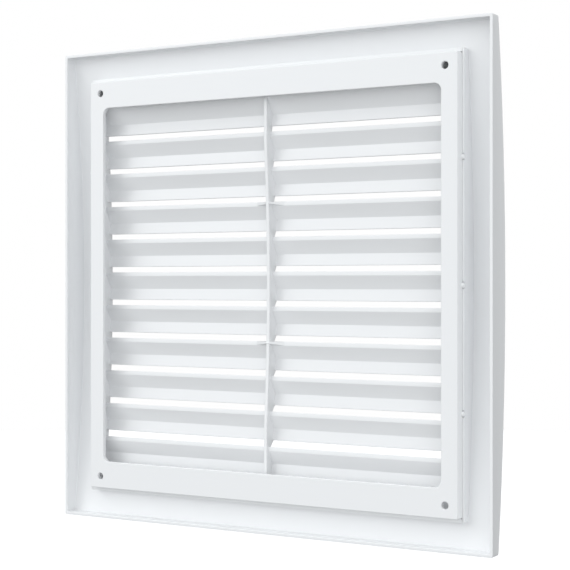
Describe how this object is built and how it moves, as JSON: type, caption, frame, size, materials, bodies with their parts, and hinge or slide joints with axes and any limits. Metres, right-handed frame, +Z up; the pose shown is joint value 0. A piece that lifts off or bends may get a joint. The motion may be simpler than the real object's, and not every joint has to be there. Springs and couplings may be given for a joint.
{
  "type": "louvred air grille",
  "caption": "Square wall vent grille: a curved louvred front panel that snaps over a flat screwed mounting frame.",
  "frame": {"origin": "centre of the four wall screws, in the plane of the building's wall", "axes": "+Z up, +X to the right for someone facing the grille, +Y into the wall, so the panel's front faces -Y"},
  "size_m": [0.25, 0.0161, 0.25],
  "materials": {
    "panel_plastic": "satin moulded white",
    "frame_plastic": "satin moulded white"
  },
  "bodies": {
    "mounting_frame": {"mounting_frame": "frame_plastic", "frame_flange": "frame_plastic", "snap_pegs": "frame_plastic"},
    "front_panel": {"front_shell": "panel_plastic", "snap_wall_top": "panel_plastic", "snap_wall_bottom": "panel_plastic", "snap_wall_left": "panel_plastic", "snap_wall_right": "panel_plastic", "cheek_left": "panel_plastic", "cheek_right": "panel_plastic", "centre_mullion": "panel_plastic", "blade_left_01": "panel_plastic", "blade_right_01": "panel_plastic", "blade_left_02": "panel_plastic", "blade_right_02": "panel_plastic", "blade_left_03": "panel_plastic", "blade_right_03": "panel_plastic", "blade_left_04": "panel_plastic", "blade_right_04": "panel_plastic", "blade_left_05": "panel_plastic", "blade_right_05": "panel_plastic", "blade_left_06": "panel_plastic", "blade_right_06": "panel_plastic", "blade_left_07": "panel_plastic", "blade_right_07": "panel_plastic", "blade_left_08": "panel_plastic", "blade_right_08": "panel_plastic", "blade_left_09": "panel_plastic", "blade_right_09": "panel_plastic", "blade_left_10": "panel_plastic", "blade_right_10": "panel_plastic", "blade_left_11": "panel_plastic", "blade_right_11": "panel_plastic", "mullion_webs": "panel_plastic"}
  },
  "joints": [
    {"name": "panel_pull_off", "type": "slide", "parent": "mounting_frame", "child": "front_panel", "axis": [0, -1, 0], "range_m": [0, 0.03]}
  ]
}
